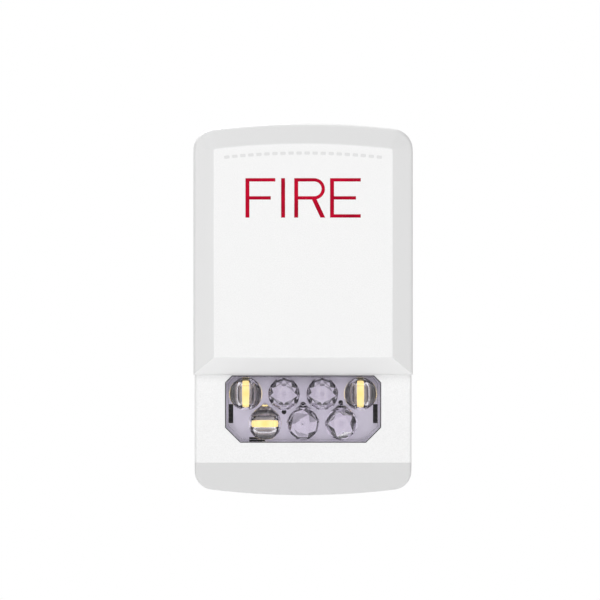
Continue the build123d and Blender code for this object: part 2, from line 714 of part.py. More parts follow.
# ---------------------------------------------------------------- setting switches
def make_candela_switch():
    body_depths = (REAR_FACE + REAR_WALL + 0.2, LED_BOARD)
    half = CANDELA_TRAVEL / 2
    with BuildPart() as body:
        block((CANDELA_X - half - 3, CANDELA_X + half + 3), (CANDELA_Z - 3, CANDELA_Z + 3), body_depths)
        channel = (CANDELA_X - half - 1.6, CANDELA_X + half + 1.6)
        block(channel, (CANDELA_Z - 1.6, CANDELA_Z + 1.6), (body_depths[0], 10.6), Mode.SUBTRACT)
    save(body, "candela_switch_body")
    x = CANDELA_X - half
    with BuildPart() as knob:
        block((x - 1.3, x + 1.3), (CANDELA_Z - 1.3, CANDELA_Z + 1.3), (5.0, 10.3))
        block((x - 1.6, x + 1.6), (CANDELA_Z - 2.6, CANDELA_Z + 2.6), (4.3, 5.7))
        for groove in (-0.8, 0, 0.8):
            cut = (x + groove - 0.15, x + groove + 0.15)
            block(cut, (CANDELA_Z - 2.6, CANDELA_Z + 2.6), (4.3, 4.6), Mode.SUBTRACT)
    save(knob, "candela_slider")


def make_dip_switch():
    body_depths = (REAR_FACE + REAR_WALL + 0.2, LED_BOARD)
    half = DIP_PITCH * DIP_COUNT / 2 + 0.8
    with BuildPart() as body:
        block((DIP_X - half, DIP_X + half), (DIP_Z - 3.2, DIP_Z + 3.2), body_depths)
        for i in range(DIP_COUNT):
            x = DIP_X + (i - 1) * DIP_PITCH
            channel = (x - 0.85, x + 0.85)
            rise = (DIP_Z - 1.8, DIP_Z + 1.8)
            block(channel, rise, (body_depths[0], 10.6), Mode.SUBTRACT)
    save(body, "dip_switch_body")
    for i in range(DIP_COUNT):
        x, z = DIP_X + (i - 1) * DIP_PITCH, DIP_Z - DIP_TRAVEL / 2
        with BuildPart() as slider:
            block((x - 0.65, x + 0.65), (z - 0.7, z + 0.7), (6.6, 10.3))
        save(slider, f"dip_slider_{i + 1}")


# ---------------------------------------------------------------- wall plate and terminals
def make_wall_plate():
    with BuildPart() as plate:
        outline = full_outline(
            0, BASE_HALF_WIDTH, WALL + PLATE_GAP, TOP_CORNER, BOTTOM_CORNER
        )
        extrude(outline.sketch, amount=PLATE)
        # raised rim round the wire opening
        opening_z = (OPENING_Z[0] + OPENING_Z[1]) / 2
        width, height = 2 * OPENING_HALF_WIDTH, OPENING_Z[1] - OPENING_Z[0]
        with BuildSketch(front_plane(PLATE)) as rim:
            with Locations((0, opening_z)):
                RectangleRounded(width + 3.0, height + 3.0, 4.5)
        extrude(amount=1.3)
        with BuildSketch(front_plane(-1)) as opening:
            with Locations((0, opening_z)):
                RectangleRounded(width, height, 3.0)
        extrude(amount=PLATE + 4, mode=Mode.SUBTRACT)
        # box screw slots and holes
        with BuildSketch(front_plane(-1)) as slots:
            for z in (-(GANG_PITCH + OCTAGON_PITCH) / 4, (GANG_PITCH + OCTAGON_PITCH) / 4):
                with Locations((0, z)):
                    SlotOverall(SLOT_SPAN, 2 * BOX_SCREW_HOLE, rotation=90)
            with GridLocations(TWO_GANG_PITCH_X, GANG_PITCH, 2, 2):
                Circle(BOX_SCREW_HOLE)
        extrude(amount=PLATE + 4, mode=Mode.SUBTRACT)
        # hooks at the top: a shelf with an upturned tip whose rear face leans forward
        for side in (-1, 1):
            span = sorted((side * HOOK_X[0], side * HOOK_X[1]))
            block(span, (57.5, HOOK_SHELF_Z), (PLATE, 6.8))
            with BuildSketch(Plane.YZ.offset(span[0])) as tip:
                with BuildLine():
                    Polyline(
                        (-4.9, HOOK_SHELF_Z),
                        (-5.65, HOOK_TIP_Z),
                        (-6.8, HOOK_TIP_Z),
                        (-6.8, HOOK_SHELF_Z),
                        close=True,
                    )
                make_face()
            extrude(amount=HOOK_X[1] - HOOK_X[0])
        # fork for the lock screw, open towards the head, and room for the head's boss below it
        block((-7, 7), (FORK_LOW, FORK_HIGH), (PLATE, 8.4))
        for x in (-6.2, 6.2):
            block((x - 0.8, x + 0.8), (FORK_HIGH, FORK_HIGH + 4.5), (PLATE, 6.0))
        pillar(0, LOCK_DEPTH, (FORK_LOW, FORK_HIGH), 1.8, Mode.SUBTRACT)
        block((-1.8, 1.8), (FORK_LOW, FORK_HIGH), (LOCK_DEPTH, 9), Mode.SUBTRACT)
        block((-6, 6), (-TOP_Z, -60.0), (-1, PLATE + 1), Mode.SUBTRACT)
    save(plate, "wall_plate")


def make_terminals():
    with BuildPart() as body:
        half = BLOCK_WIDTH / 2
        block((-half, half), (BLOCK_LOW, BLOCK_HIGH), (PLATE, BLOCK_FRONT))
        for x in POLE_X:
            bay = (BLOCK_LOW - 1, 24.0)
            block((x - 3.9, x + 3.9), bay, (BAY_FLOOR, BLOCK_FRONT + 1), Mode.SUBTRACT)
            channel = (23.0, 31.6)
            block((x - 2.8, x + 2.8), channel, (BAY_FLOOR, BLOCK_FRONT + 1), Mode.SUBTRACT)
            post(x, TERMINAL_Z, (3.0, BAY_FLOOR), 1.5, Mode.SUBTRACT)
    save(body, "terminal_block")
    with BuildPart() as springs:
        for x in POLE_X:
            with BuildSketch(Plane.YZ.offset(x - 2.5)) as strip:
                with BuildLine() as path:
                    FilletPolyline(
                        (-6.3, 15.2), (-6.3, 30.6), (-12.6, 30.6), (-13.9, 27.0), (-13.2, 25.0),
                        radius=0.7,
                    )
                trace(path.line, line_width=0.6)
            extrude(strip.sketch, amount=5.0)
            post(x, TERMINAL_Z, (BAY_FLOOR - 1, BAY_FLOOR + 1), 1.6, Mode.SUBTRACT)
    save(springs, "contact_springs")
    with BuildPart() as clamps:
        for x in POLE_X:
            block((x - 3.3, x + 3.3), (TERMINAL_Z - 3.4, TERMINAL_Z + 3.4), (8.2, 9.1))
            post(x, TERMINAL_Z, (8.0, 9.2), 1.6, Mode.SUBTRACT)
    save(clamps, "terminal_clamps")
    places = [(x, TERMINAL_Z) for x in POLE_X]
    make_screws("terminal_screws", places, (9.1, 11.3), 3.0, 3.3, 1.45, True)


# ---------------------------------------------------------------- lock screw and nut
def make_lock():
    head_low, head_high = -66.15, -64.15
    with BuildPart() as screw:
        pillar(0, LOCK_DEPTH, (head_low, head_high), 2.75)
        pillar(0, LOCK_DEPTH, (head_high, -51.5), LOCK_RADIUS)
        for arms in ((1.6, 0.35), (0.35, 1.6)):
            with Locations((0, -LOCK_DEPTH, head_low + 0.5)):
                Box(2 * arms[0], 2 * arms[1], 1.0, mode=Mode.SUBTRACT)
        pillar(0, LOCK_DEPTH, (-60.42, -60.02), 2.5)
    save(screw, "lock_screw")
    low = FORK_HIGH + 0.1
    with BuildPart() as nut:
        half = NUT_SIDE / 2
        block((-half, half), (low, low + NUT_THICK), (LOCK_DEPTH - half, LOCK_DEPTH + half))
        pillar(0, LOCK_DEPTH, (low, low + NUT_THICK), LOCK_RADIUS + 0.05, Mode.SUBTRACT)
    save(nut, "lock_nut")


def main():
    make_front_cover()
    make_lettering()
    make_rear_cover()
    make_main_board()
    make_lamp_board()
    make_link()
    make_contact_pins()
    make_main_parts()
    make_sounder()
    make_horn()
    make_optic_frame()
    make_lens()
    make_lamps()
    make_candela_switch()
    make_dip_switch()
    make_wall_plate()
    make_terminals()
    make_lock()
    front = MAIN_BOARD + BOARD
    make_screws("cover_screws", COVER_SCREWS, (4.4, REAR_FACE), 2.6, 16.5, 1.05, False)
    make_screws("main_board_screws", MAIN_SCREWS, (front, front + 1.5), 1.9, 12.0, 0.9, True)
    lamp_front = LED_BOARD + BOARD
    make_screws("lamp_board_screws", LED_SCREWS, (lamp_front, lamp_front + 1.5), 1.9, 9.0, 0.9, True)
    make_screws("optic_screws", FRAME_SCREWS, (FRAME_BACK - 1.5, FRAME_BACK), 1.8, 21.5, 0.8, False)


main()
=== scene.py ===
# %% [markdown]
# # A fire alarm horn strobe
#
# The CAD frame already holds every part at its real size and place. This lesson gives those
# parts their finishes. It makes anew the one piece whose beauty is in its fine shape, the clear
# lens with its seven small domes, and adds round it a thin black strip, painted shade for the gap
# at the window's edge. Lengths are written in millimetres and turned into metres with MM.

# %% Load the frame
from math import radians, sqrt

import bmesh
import bpy
from mathutils import Matrix, Vector


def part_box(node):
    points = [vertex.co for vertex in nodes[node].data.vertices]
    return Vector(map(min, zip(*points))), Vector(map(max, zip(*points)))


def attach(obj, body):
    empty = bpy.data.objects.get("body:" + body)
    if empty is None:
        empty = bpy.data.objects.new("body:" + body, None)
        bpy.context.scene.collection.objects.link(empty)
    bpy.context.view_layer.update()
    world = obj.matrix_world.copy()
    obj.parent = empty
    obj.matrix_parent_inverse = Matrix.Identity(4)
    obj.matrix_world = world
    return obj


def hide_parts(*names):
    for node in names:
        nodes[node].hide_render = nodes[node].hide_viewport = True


MM = 0.001
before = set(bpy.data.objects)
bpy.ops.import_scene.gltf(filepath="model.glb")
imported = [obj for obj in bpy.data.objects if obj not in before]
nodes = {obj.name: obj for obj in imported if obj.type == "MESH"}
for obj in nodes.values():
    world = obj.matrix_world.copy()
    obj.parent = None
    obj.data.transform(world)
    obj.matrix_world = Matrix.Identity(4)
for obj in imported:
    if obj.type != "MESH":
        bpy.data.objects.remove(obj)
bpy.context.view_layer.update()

# %% [markdown]
# ## Camera
#
# The head is seen straight from the front at its own height. A long lens from two and a half
# metres away keeps the side walls hidden, as in a catalogue picture. The camera stands a little
# beside and above the middle of the head, so that no lens shift is needed to place it in the
# picture.

# %% Place the camera
CAMERA_DISTANCE = 2500 * MM
VIEW_WIDTH = 213.3 * MM  # width of the picture at the head's shoulders
SHOULDERS = Vector((-1.1, -26.0, 3.5)) * MM
SENSOR_WIDTH = 36

camera_data = bpy.data.cameras.new("camera")
camera_data.sensor_width = SENSOR_WIDTH
camera_data.lens = SENSOR_WIDTH * CAMERA_DISTANCE / VIEW_WIDTH
camera_data.clip_start, camera_data.clip_end = 0.01, 20
camera = bpy.data.objects.new("camera", camera_data)
bpy.context.scene.collection.objects.link(camera)
camera.location = SHOULDERS + Vector((0, -CAMERA_DISTANCE, 0))
camera.rotation_euler = (radians(90), 0, 0)
bpy.context.scene.camera = camera
print("lens", round(camera_data.lens, 1), "mm")

# %% [markdown]
# ## Studio light
#
# White plastic shows its shape only by small steps of grey, so the light is soft and frontal.
# But a lamp straight behind the camera would be mirrored in every flat of the clear lens and hide
# what is behind it. So the surround itself is the light: a broad bright ring about the line of
# sight, a dark hole in its middle where the camera stands, and a dim rest. Where the camera sees
# it, it is white. A panel above and behind the head lights the top and left shoulders.

# %% Surround
RING_STRENGTH = 1.66
LEAN = (-0.10, 0.0, -0.05)  # the light is a little stronger from the left and from below
# Each stop is a place on the way from behind the head, 0, to behind the camera, 1, and its grey.
RING_STOPS = (
    (0.3, 0.2), (0.42, 0.36), (0.6, 0.36), (0.77, 0.22),
    (0.885, 0.98), (0.965, 1.0), (0.99, 0.1), (1.0, 0.1),
)

world = bpy.data.worlds.new("surround")
bpy.context.scene.world = world
world.use_nodes = True
tree = world.node_tree
tree.nodes.clear()
direction = tree.nodes.new("ShaderNodeTexCoord")
split = tree.nodes.new("ShaderNodeSeparateXYZ")
ahead = tree.nodes.new("ShaderNodeMapRange")
ahead.inputs["From Min"].default_value = 1
ahead.inputs["From Max"].default_value = -1
ring = tree.nodes.new("ShaderNodeValToRGB")
ring.color_ramp.interpolation = "EASE"
stops = ring.color_ramp.elements
stops[0].position, stops[1].position = RING_STOPS[0][0], RING_STOPS[-1][0]
for position, _ in RING_STOPS[1:-1]:
    stops.new(position)
for stop, (_, grey) in zip(stops, RING_STOPS):
    stop.color = (grey, grey, grey, 1)
lean = tree.nodes.new("ShaderNodeVectorMath")
lean.operation = "DOT_PRODUCT"
lean.inputs[1].default_value = LEAN
strength = tree.nodes.new("ShaderNodeMath")
strength.operation = "ADD"
strength.inputs[1].default_value = RING_STRENGTH
lit = tree.nodes.new("ShaderNodeBackground")
seen = tree.nodes.new("ShaderNodeBackground")
seen.inputs["Color"].default_value = (1, 1, 1, 1)
ray = tree.nodes.new("ShaderNodeLightPath")
mix = tree.nodes.new("ShaderNodeMixShader")
sky = tree.nodes.new("ShaderNodeOutputWorld")
tree.links.new(direction.outputs["Generated"], split.inputs["Vector"])
tree.links.new(split.outputs["Y"], ahead.inputs["Value"])
tree.links.new(ahead.outputs["Result"], ring.inputs["Fac"])
tree.links.new(ring.outputs["Color"], lit.inputs["Color"])
tree.links.new(direction.outputs["Generated"], lean.inputs[0])
tree.links.new(lean.outputs["Value"], strength.inputs[0])
tree.links.new(strength.outputs["Value"], lit.inputs["Strength"])
tree.links.new(ray.outputs["Is Camera Ray"], mix.inputs["Fac"])
tree.links.new(lit.outputs["Background"], mix.inputs[1])
tree.links.new(seen.outputs["Background"], mix.inputs[2])
tree.links.new(mix.outputs["Shader"], sky.inputs["Surface"])
print("a ring of light with", len(stops), "stops")

# %% Edge light
EDGE_LIGHT_PLACE = Vector((-0.3, 0.65, 0.7))
EDGE_LIGHT_SIZE, EDGE_LIGHT_POWER = 0.5, 9.0

edge_data = bpy.data.lights.new("edge_light", "AREA")
edge_data.size = EDGE_LIGHT_SIZE
edge_data.energy = EDGE_LIGHT_POWER
edge_light = bpy.data.objects.new("edge_light", edge_data)
edge_light.location = EDGE_LIGHT_PLACE
edge_light.rotation_mode = "QUATERNION"
edge_light.rotation_quaternion = (-EDGE_LIGHT_PLACE).to_track_quat("-Z", "Y")
bpy.context.scene.collection.objects.link(edge_light)
print("edge light", round(EDGE_LIGHT_PLACE.length, 2), "m from the head")

# %% Floor
FLOOR_RADIUS, FLOOR_HEIGHT, FLOOR_GLOW = 0.7, -0.36, 0.12

bm = bmesh.new()
bmesh.ops.create_circle(bm, cap_ends=True, segments=96, radius=FLOOR_RADIUS)
floor_mesh = bpy.data.meshes.new("floor")
bm.to_mesh(floor_mesh)
bm.free()
floor = bpy.data.objects.new("floor", floor_mesh)
floor.location = (0, 0, FLOOR_HEIGHT)
floor_mesh.materials.append(bpy.data.materials.new("floor_pale"))
floor_mesh.materials[0].use_nodes = True
pale = floor_mesh.materials[0].node_tree.nodes["Principled BSDF"]
pale.inputs["Base Color"].default_value = (0.9, 0.9, 0.9, 1)
pale.inputs["Emission Color"].default_value = (1, 1, 1, 1)
pale.inputs["Emission Strength"].default_value = FLOOR_GLOW
bpy.context.scene.collection.objects.link(floor)
bpy.context.scene.view_settings.view_transform = "Standard"
print("floor", round(-FLOOR_HEIGHT, 2), "m below the middle of the head")

# %% [markdown]
# ## Finishes
#
# Every finish is one Principled shader whose colour, roughness and bump come from noise in
# object coordinates, so a grain has its real size in millimetres. A few small helpers cover the
# plumbing. The first set makes the shader, a noise at a stated grain size, and the links that turn
# a noise into colour, gloss or bump. The second set works with masks: sums on sockets, and paint
# that covers a colour where a mask is 1.


# %% Helpers for node materials
def new_finish(name, colour, roughness, **sockets):
    """A Principled material. Extra shader sockets are given with underscores for spaces."""
    material = bpy.data.materials.new(name)
    material.use_nodes = True
    material.diffuse_color = (*colour, 1)
    shader = material.node_tree.nodes["Principled BSDF"]
    shader.inputs["Base Color"].default_value = (*colour, 1)
    shader.inputs["Roughness"].default_value = roughness
    for socket, value in sockets.items():
        shader.inputs[socket.replace("_", " ")].default_value = value
    return material


def grain(material, size, detail=2.0, stretch=(1, 1, 1)):
    """A noise whose grains are about size metres across. Returns its node."""
    tree = material.node_tree
    place = tree.nodes.new("ShaderNodeTexCoord")
    mapping = tree.nodes.new("ShaderNodeMapping")
    mapping.inputs["Scale"].default_value = stretch
    noise = tree.nodes.new("ShaderNodeTexNoise")
    noise.inputs["Scale"].default_value = 1 / size
    noise.inputs["Detail"].default_value = detail
    tree.links.new(place.outputs["Object"], mapping.inputs["Vector"])
    tree.links.new(mapping.outputs["Vector"], noise.inputs["Vector"])
    return noise


def tint_by(material, noise, dark, light, low=0.35, high=0.65):
    """Colours the shader between two colours by a noise. Returns the ramp."""
    tree = material.node_tree
    ramp = tree.nodes.new("ShaderNodeValToRGB")
    ramp.color_ramp.elements[0].position = low
    ramp.color_ramp.elements[1].position = high
    ramp.color_ramp.elements[0].color = (*dark, 1)
    ramp.color_ramp.elements[1].color = (*light, 1)
    tree.links.new(noise.outputs["Fac"], ramp.inputs["Fac"])
    tree.links.new(ramp.outputs["Color"], tree.nodes["Principled BSDF"].inputs["Base Color"])
    return ramp


def gloss_by(material, noise, low, high):
    """Varies the shader's roughness between two values by a noise."""
    tree = material.node_tree
    span = tree.nodes.new("ShaderNodeMapRange")
    span.inputs["From Min"].default_value = 0.3
    span.inputs["From Max"].default_value = 0.7
    span.inputs["To Min"].default_value = low
    span.inputs["To Max"].default_value = high
    tree.links.new(noise.outputs["Fac"], span.inputs["Value"])
    tree.links.new(span.outputs["Result"], tree.nodes["Principled BSDF"].inputs["Roughness"])


def bump_by(material, noise, depth, strength=1.0):
    """Raises the surface by a noise, depth metres at most. Returns the bump node."""
    tree = material.node_tree
    bump = tree.nodes.new("ShaderNodeBump")
    bump.inputs["Strength"].default_value = strength
    bump.inputs["Distance"].default_value = depth
    tree.links.new(noise.outputs["Fac"], bump.inputs["Height"])
    tree.links.new(bump.outputs["Normal"], tree.nodes["Principled BSDF"].inputs["Normal"])
    return bump


# %% Helpers for shades and masks
def shade(colour, factor):
    """A colour made darker or lighter by a factor."""
    return tuple(min(1.0, c * factor) for c in colour)


def calculate(tree, operation, *values):
    """A Math node. A value is a number or the socket of another node. Returns its socket."""
    node = tree.nodes.new("ShaderNodeMath")
    node.operation = operation
    for socket, value in zip(node.inputs, values):
        if isinstance(value, bpy.types.NodeSocket):
            tree.links.new(value, socket)
        else:
            socket.default_value = value
    return node.outputs["Value"]


def paint_over(tree, below, mask, colour):
    """Covers a colour with another one where a mask is 1. Returns a socket."""
    paint = tree.nodes.new("ShaderNodeMix")
    paint.data_type = "RGBA"
    paint.inputs["B"].default_value = (*colour, 1)
    tree.links.new(mask, paint.inputs["Factor"])
    tree.links.new(below, paint.inputs["A"])
    return paint.outputs["Result"]


# %% [markdown]
# ### White cover
#
# The cover is moulded in a tool whose flat faces were spark eroded: the panel and the lower face
# have a fine grain, while the bevels, the lip and the side walls are smoother. These are painted a
# shade greyer, and the lip, which faces down, greyer still: painted shade where they turn from the
# light.
# The grain is bump from a noise of a third of a millimetre, and it is let in only where the
# surface faces straight out. The normal that tells where comes from the object itself, so it stays
# with the part in every pose. The row of dashes stands a little proud of the panel, and it is
# painted a light grey: painted shade that makes the raised dashes show.


# %% White grained cover
PANEL_DEPTH, LIP_TOP = 33.0 * MM, -54.4 * MM
GRAIN_SIZE, GRAIN_DEPTH = 0.34 * MM, 0.09 * MM
SLOPING = -0.95  # the Y of its normal is above this on a bevel or a side wall
# Factors of painted shade for the bevels and side walls, the downward facing lip and the raised
# dashes
BEVEL_PAINTED_SHADE, LIP_PAINTED_SHADE, DASH_PAINTED_SHADE = 0.93, 0.765, 0.84


def make_cover_white():
    white = (0.925, 0.925, 0.925)
    finish = new_finish("cover_white", white, 0.42)
    tree = finish.node_tree
    fine = grain(finish, GRAIN_SIZE, detail=3.0)
    colour = tint_by(finish, fine, shade(white, 0.96), shade(white, 1.03)).outputs["Color"]
    gloss_by(finish, grain(finish, 3 * MM), 0.38, 0.47)
    bump = bump_by(finish, fine, GRAIN_DEPTH)

    place = tree.nodes.new("ShaderNodeTexCoord")
    facing = tree.nodes.new("ShaderNodeSeparateXYZ")
    spot = tree.nodes.new("ShaderNodeSeparateXYZ")
    tree.links.new(place.outputs["Normal"], facing.inputs["Vector"])
    tree.links.new(place.outputs["Object"], spot.inputs["Vector"])

    rough = tree.nodes.new("ShaderNodeMapRange")
    rough.inputs["From Min"].default_value = -0.93
    rough.inputs["From Max"].default_value = -0.99
    rough.inputs["To Min"].default_value = 0.08
    rough.inputs["To Max"].default_value = 0.8
    tree.links.new(facing.outputs["Y"], rough.inputs["Value"])
    tree.links.new(rough.outputs["Result"], bump.inputs["Strength"])

    for test, socket, limit, factor in (
        # painted shade: greyer on the bevels and side walls
        ("GREATER_THAN", facing.outputs["Y"], SLOPING, BEVEL_PAINTED_SHADE),
        # painted shade: greyer still on everything below the top of the lip
        ("LESS_THAN", spot.outputs["Z"], LIP_TOP, LIP_PAINTED_SHADE),
        # painted shade on the raised dashes
        ("LESS_THAN", spot.outputs["Y"], -PANEL_DEPTH - 0.02 * MM, DASH_PAINTED_SHADE),
    ):
        mask = calculate(tree, test, socket, limit)
        colour = paint_over(tree, colour, mask, shade(white, factor))
    tree.links.new(colour, tree.nodes["Principled BSDF"].inputs["Base Color"])
    return finish


cover_white = make_cover_white()
print(cover_white.name, "has", len(cover_white.node_tree.nodes), "nodes")

# %% [markdown]
# ### Other moulded plastics
#
# The rest of the mouldings differ in colour, gloss and the size of their grain, so one function
# makes them all. Large soft noise varies the colour by a few percent, as pigment does, and fine
# noise gives the tool's texture.


# %% Moulded plastics
def moulded(name, colour, roughness, grain_mm=0.4, depth_mm=0.02, mottle=0.02, **sockets):
    """A moulded plastic or ceramic. mottle is how much its colour varies, as a share of it."""
    finish = new_finish(name, colour, roughness, **sockets)
    tint_by(finish, grain(finish, 6 * MM), shade(colour, 1 - mottle), shade(colour, 1 + mottle))
    gloss_by(finish, grain(finish, 2 * MM), roughness * 0.85, min(1.0, roughness * 1.15))
    bump_by(finish, grain(finish, grain_mm * MM, detail=3.0), depth_mm * MM, strength=0.6)
    return finish


plate_white = moulded("plate_white", (0.80, 0.80, 0.79), 0.5, 0.5, 0.03)
rear_grey = moulded("rear_grey", (0.16, 0.165, 0.175), 0.52, 0.45, 0.03)
block_black = moulded("block_black", (0.018, 0.018, 0.02), 0.42, 0.3, 0.015, mottle=0.2)
horn_black = moulded("horn_black", (0.03, 0.03, 0.033), 0.6, 0.5, 0.02, mottle=0.2)
knob_cream = moulded("knob_cream", (0.78, 0.76, 0.68), 0.36, 0.25, 0.01)
switch_red = moulded("switch_red", (0.42, 0.02, 0.02), 0.3, 0.25, 0.01)
ink_red = moulded("ink_red", (0.48, 0.001, 0.024), 0.5, 0.2, 0.01,
                  mottle=0.16, Specular_IOR_Level=0.06)
chip_black = moulded("chip_black", (0.012, 0.012, 0.014), 0.35, 0.15, 0.008, mottle=0.25)
print("moulded finishes made")

# %% [markdown]
# ### Metals
#
# Small stamped and turned parts are plated. A noise that is stretched along one direction looks
# like the fine marks of rolling or turning, and it varies the roughness more than the colour.


# %% Plated and bare metals
def metal(name, colour, roughness, mark_mm=0.25, stretch=(1, 1, 12), wear=0.12):
    """A metal with fine marks. A larger stretch along an axis squeezes the marks along it."""
    finish = new_finish(name, colour, roughness, Metallic=1.0)
    tint_by(finish, grain(finish, 1.5 * MM), shade(colour, 1 - wear), shade(colour, 1 + wear))
    marks = grain(finish, mark_mm * MM, stretch=stretch)
    gloss_by(finish, marks, roughness * 0.7, min(1.0, roughness * 1.35))
    bump_by(finish, marks, 0.006 * MM, strength=0.5)
    return finish


zinc = metal("zinc_plate", (0.62, 0.64, 0.67), 0.3, stretch=(6, 1, 6))
brass = metal("brass_bright", (0.72, 0.52, 0.22), 0.26)
bronze = metal("spring_bronze", (0.62, 0.40, 0.22), 0.3, stretch=(12, 1, 1))
bare_can = metal("bare_can", (0.72, 0.73, 0.75), 0.28, stretch=(1, 12, 1))
print("metal finishes made")

# %% [markdown]
# ### Circuit boards, lamps and magnetics
#
# The lamp board has a black mask so that no stray light shows through the lens, and the main
# board is green. Tracks under the mask are a faint brick pattern. A lamp's phosphor is a soft
# mottled yellow, and it is given a painted glow to look brighter. Ferrite is dark and chalky,
# and the winding is enamelled copper whose turns lie side by side, painted darker in the grooves
# between them as painted shade.


# %% Boards
def board(name, colour, track):
    """A coated board whose tracks show as raised lines of another colour."""
    finish = new_finish(name, colour, 0.3, Coat_Weight=0.5)
    tree = finish.node_tree
    place = tree.nodes.new("ShaderNodeTexCoord")
    turn = tree.nodes.new("ShaderNodeMapping")
    turn.inputs["Rotation"].default_value = (radians(-90), 0, 0)
    tracks = tree.nodes.new("ShaderNodeTexBrick")
    tracks.inputs["Scale"].default_value = 1.0
    tracks.inputs["Brick Width"].default_value = 9 * MM
    tracks.inputs["Row Height"].default_value = 1.6 * MM
    tracks.inputs["Mortar Size"].default_value = 0.22 * MM
    tracks.inputs["Color1"].default_value = (*colour, 1)
    tracks.inputs["Color2"].default_value = (*shade(colour, 0.9), 1)
    tracks.inputs["Mortar"].default_value = (*track, 1)
    tree.links.new(place.outputs["Object"], turn.inputs["Vector"])
    tree.links.new(turn.outputs["Vector"], tracks.inputs["Vector"])
    shader = tree.nodes["Principled BSDF"]
    tree.links.new(tracks.outputs["Color"], shader.inputs["Base Color"])
    bump = tree.nodes.new("ShaderNodeBump")
    bump.inputs["Distance"].default_value = 0.035 * MM
    tree.links.new(tracks.outputs["Fac"], bump.inputs["Height"])
    tree.links.new(bump.outputs["Normal"], shader.inputs["Normal"])
    return finish


board_green = board("board_green", (0.012, 0.13, 0.05), (0.03, 0.24, 0.09))
board_black = board("board_black", (0.012, 0.012, 0.014), (0.04, 0.035, 0.03))
carrier_white = moulded("carrier_white", (0.82, 0.82, 0.80), 0.3, 0.2, 0.005)
ceramic = moulded("ceramic_disc", (0.62, 0.58, 0.5), 0.55, 0.2, 0.01)
ferrite = moulded("ferrite_core", (0.05, 0.05, 0.055), 0.75, 0.2, 0.02, mottle=0.2)


# %% Phosphor and winding
PHOSPHOR_PAINTED_GLOW = 1.15
WIRE = 0.35 * MM  # the winding's wire over its enamel
WAVE_LENGTH = 0.314  # a wave texture of scale 1 repeats at this length


def make_phosphor():
    finish = new_finish("phosphor_yellow", (0.95, 0.72, 0.1), 0.35)
    painted_glow = finish.node_tree.nodes["Principled BSDF"]
    # Painted glow: the phosphor is made to shine a little of itself
    painted_glow.inputs["Emission Color"].default_value = (1.0, 0.86, 0.30, 1)
    painted_glow.inputs["Emission Strength"].default_value = PHOSPHOR_PAINTED_GLOW
    tint_by(finish, grain(finish, 1.1 * MM), (0.93, 0.62, 0.08), (0.97, 0.84, 0.28))
    bump_by(finish, grain(finish, 0.2 * MM), 0.01 * MM)
    return finish


def make_winding():
    finish = new_finish("enamelled_copper", (0.42, 0.12, 0.03), 0.25, Metallic=0.7)
    tree = finish.node_tree
    place = tree.nodes.new("ShaderNodeTexCoord")
    turns = tree.nodes.new("ShaderNodeTexWave")
    turns.bands_direction = "Y"
    turns.inputs["Scale"].default_value = WAVE_LENGTH / WIRE
    tree.links.new(place.outputs["Object"], turns.inputs["Vector"])
    # Painted shade: darker in the grooves between turns, lighter on their crowns
    tint_by(finish, turns, (0.16, 0.04, 0.01), (0.55, 0.18, 0.05), 0.1, 0.6)
    bump_by(finish, turns, 0.12 * MM)
    return finish


phosphor = make_phosphor()
winding_copper = make_winding()
print("board, lamp and coil finishes made")

# %% [markdown]
# ### Optic frame
#
# The pale plate behind the lens is glossy and faintly lavender. The middles of its lamp bores are
# blackened. A narrow band under the rim of each idle dome is painted black as painted shade:
# through the facets these bands come into view as the dark glints that make a cut gem sparkle.
# Each band is found by its distance from the middle of its site, measured in the plane of the
# plate. A few darker wedges painted on each idle dish are painted shade as well, and show as the
# grey flats inside the gem.
#
# A dome also gathers light on the dish behind it. Tracing that takes very many rays, so the four
# idle dishes are painted lighter and given a faint glow that stand for it: a painted pool of light.


# %% Masks in the plane of the plate
NOTCH_LEVEL = -0.35  # a band is left where a wave round it is above this


def band_mask(tree, place, x, z, inner, outer, deeper_than=None, notches=0):
    """1 inside a band round (x, z) in the plane of the plate, else 0. Returns a socket.

    It can be kept to what lies deeper than a depth, or cut by a number of notches."""
    flat = tree.nodes.new("ShaderNodeMapping")
    flat.inputs["Location"].default_value = (-x, 0, -z)
    flat.inputs["Scale"].default_value = (1, 0, 1)
    tree.links.new(place, flat.inputs["Vector"])
    length = tree.nodes.new("ShaderNodeVectorMath")
    length.operation = "LENGTH"
    tree.links.new(flat.outputs["Vector"], length.inputs[0])
    middle, half_width = (inner + outer) / 2, (outer - inner) / 2
    near = calculate(tree, "COMPARE", length.outputs["Value"], middle, half_width)
    split = tree.nodes.new("ShaderNodeSeparateXYZ")
    if deeper_than is not None:
        tree.links.new(place, split.inputs["Vector"])
        test = calculate(tree, "GREATER_THAN", split.outputs["Y"], -deeper_than)
    elif notches:
        tree.links.new(flat.outputs["Vector"], split.inputs["Vector"])
        turn = calculate(tree, "ARCTAN2", split.outputs["Z"], split.outputs["X"])
        wave = calculate(tree, "SINE", calculate(tree, "MULTIPLY", turn, notches))
        test = calculate(tree, "GREATER_THAN", wave, NOTCH_LEVEL)
    else:
        return near
    return calculate(tree, "MULTIPLY", near, test)


def any_of(tree, masks):
    """The largest of some masks, as one socket."""
    total = masks[0]
    for mask in masks[1:]:
        total = calculate(tree, "MAXIMUM", total, mask)
    return total


# %% Pale plate with blackened bands
LENS_PITCH = 13.6 * MM
UPPER_ROW, LOWER_ROW = -29.9 * MM, -40.5 * MM
LAMP_SITES = [(-1.5 * LENS_PITCH, UPPER_ROW), (1.5 * LENS_PITCH, UPPER_ROW),
              (-LENS_PITCH, LOWER_ROW)]
IDLE_SITES = [(-0.5 * LENS_PITCH, UPPER_ROW), (0.5 * LENS_PITCH, UPPER_ROW),
              (0.0, LOWER_ROW), (LENS_PITCH, LOWER_ROW)]
PLATE_FRONT = -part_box("optic_frame")[0].y
BORE_BLACK = 3.7 * MM  # how far from its middle a lamp bore is black
